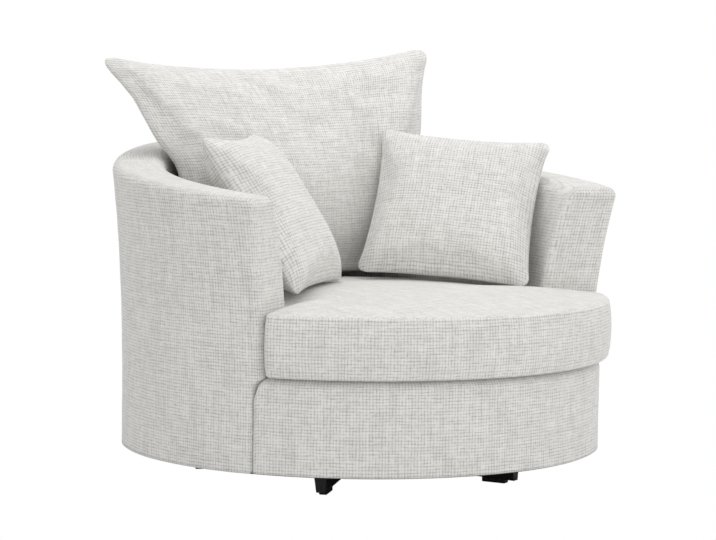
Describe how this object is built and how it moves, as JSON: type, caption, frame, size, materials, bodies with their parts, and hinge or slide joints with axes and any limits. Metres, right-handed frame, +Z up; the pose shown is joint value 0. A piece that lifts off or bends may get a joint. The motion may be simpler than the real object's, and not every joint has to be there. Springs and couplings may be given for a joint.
{
  "type": "swivel armchair",
  "caption": "Round upholstered swivel armchair: curved wraparound back and arms, loose seat, back and scatter cushions, turning on a low black star base.",
  "frame": {"origin": "on the floor under the swivel axis", "axes": "+Z up along the swivel axis, the sitter faces -Y, +X to the right seen from the front"},
  "size_m": [1.1964, 1.1525, 0.9831],
  "materials": {
    "chenille_fabric": "chunky flat weave",
    "upholstery_foam": "open cell foam",
    "fibre_filling": "loose fibre",
    "felt": "needled felt",
    "black_lining": "thin nonwoven",
    "plywood": "raw",
    "softwood": "sawn",
    "fibreboard": "raw",
    "black_steel": "satin powder coat",
    "bright_steel": "zinc plated",
    "black_plastic": "moulded"
  },
  "bodies": {
    "base": {"base_hub": "black_steel", "base_leg_1": "black_steel", "base_leg_2": "black_steel", "base_leg_3": "black_steel", "base_leg_4": "black_steel", "base_leg_5": "black_steel", "floor_glides": "black_plastic", "leg_end_caps": "black_plastic", "spindle": "bright_steel", "retaining_washer": "bright_steel", "spindle_nut": "bright_steel", "lower_bearing_race": "bright_steel", "bearing_balls": "bright_steel", "ball_cage": "black_plastic"},
    "chair": {"bottom_ring": "plywood", "deck_cloth": "black_lining", "deck_felt": "felt", "deck_ring": "plywood", "drum_board": "fibreboard", "drum_studs": "softwood", "dust_cloth": "black_lining", "front_panel_cover": "chenille_fabric", "front_panel_foam": "upholstery_foam", "inner_wall_board": "fibreboard", "left_cross_rail": "softwood", "lower_bush": "black_plastic", "outer_wall_board": "fibreboard", "plate_bolts": "bright_steel", "right_cross_rail": "softwood", "seat_springs": "bright_steel", "shell_cover": "chenille_fabric", "shell_foam": "upholstery_foam", "spring_clips": "bright_steel", "swivel_housing": "black_steel", "swivel_plate": "black_steel", "tee_nuts": "bright_steel", "top_rail": "plywood", "upper_bearing_race": "bright_steel", "upper_bush": "black_plastic", "wall_ribs": "plywood"},
    "seat_cushion": {"seat_cushion_cover": "chenille_fabric", "seat_cushion_core": "upholstery_foam"},
    "back_cushion": {"back_cushion_cover": "chenille_fabric", "back_cushion_core": "fibre_filling"},
    "left_scatter_cushion": {"left_scatter_cover": "chenille_fabric", "left_scatter_core": "fibre_filling"},
    "right_scatter_cushion": {"right_scatter_cover": "chenille_fabric", "right_scatter_core": "fibre_filling"}
  },
  "joints": [
    {"name": "seat_swivel", "type": "hinge", "parent": "base", "child": "chair", "pos_m": [0, 0, 0], "axis": [0, 0, 1], "continuous": true},
    {"name": "seat_cushion_lift", "type": "slide", "parent": "chair", "child": "seat_cushion", "axis": [0, 0, 1], "range_m": [0, 0.55]},
    {"name": "back_cushion_lift", "type": "slide", "parent": "seat_cushion", "child": "back_cushion", "axis": [0, 0, 1], "range_m": [0, 0.4]},
    {"name": "left_scatter_lift", "type": "slide", "parent": "back_cushion", "child": "left_scatter_cushion", "axis": [0, 0, 1], "range_m": [0, 0.35]},
    {"name": "right_scatter_lift", "type": "slide", "parent": "back_cushion", "child": "right_scatter_cushion", "axis": [0, 0, 1], "range_m": [0, 0.35]}
  ]
}
